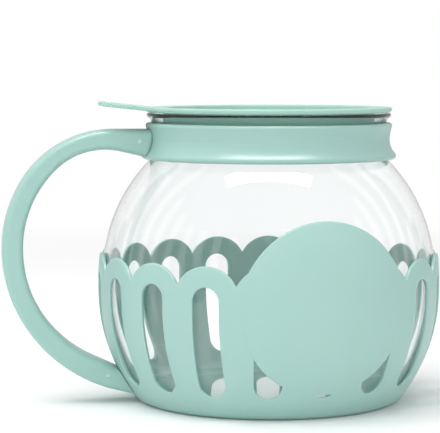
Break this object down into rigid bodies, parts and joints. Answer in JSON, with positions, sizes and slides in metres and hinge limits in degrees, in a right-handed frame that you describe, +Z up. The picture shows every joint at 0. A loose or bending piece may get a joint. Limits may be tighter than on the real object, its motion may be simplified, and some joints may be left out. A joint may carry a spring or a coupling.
{
  "type": "popcorn popper",
  "caption": "Glass globe popcorn popper in a looped plastic sleeve, with a split collar, a C-shaped side handle and a soft lift-off lid with a thumb tab.",
  "frame": {"origin": "middle of the flat base, on the surface it stands on", "axes": "+Z up through the middle of the globe and the lid; the handle points along -X; the round front panel faces nearly -Y, turned 10 degrees towards +X"},
  "size_m": [0.235, 0.184, 0.1604],
  "materials": {
    "clear_glass": "polished borosilicate, clear",
    "mint_plastic": "satin moulded polypropylene",
    "pin_plastic": "natural moulded plastic",
    "mint_silicone": "soft matte silicone"
  },
  "bodies": {
    "popper": {"glass_carafe": "clear_glass", "base_sleeve": "mint_plastic", "collar_band": "mint_plastic", "handle_near_shell": "mint_plastic", "handle_far_shell": "mint_plastic", "handle_pin_upper": "pin_plastic", "handle_pin_lower": "pin_plastic"},
    "lid": {"lid": "mint_silicone"}
  },
  "joints": [
    {"name": "lid_lift", "type": "slide", "parent": "popper", "child": "lid", "axis": [0, 0, 1], "range_m": [0, 0.08]}
  ]
}
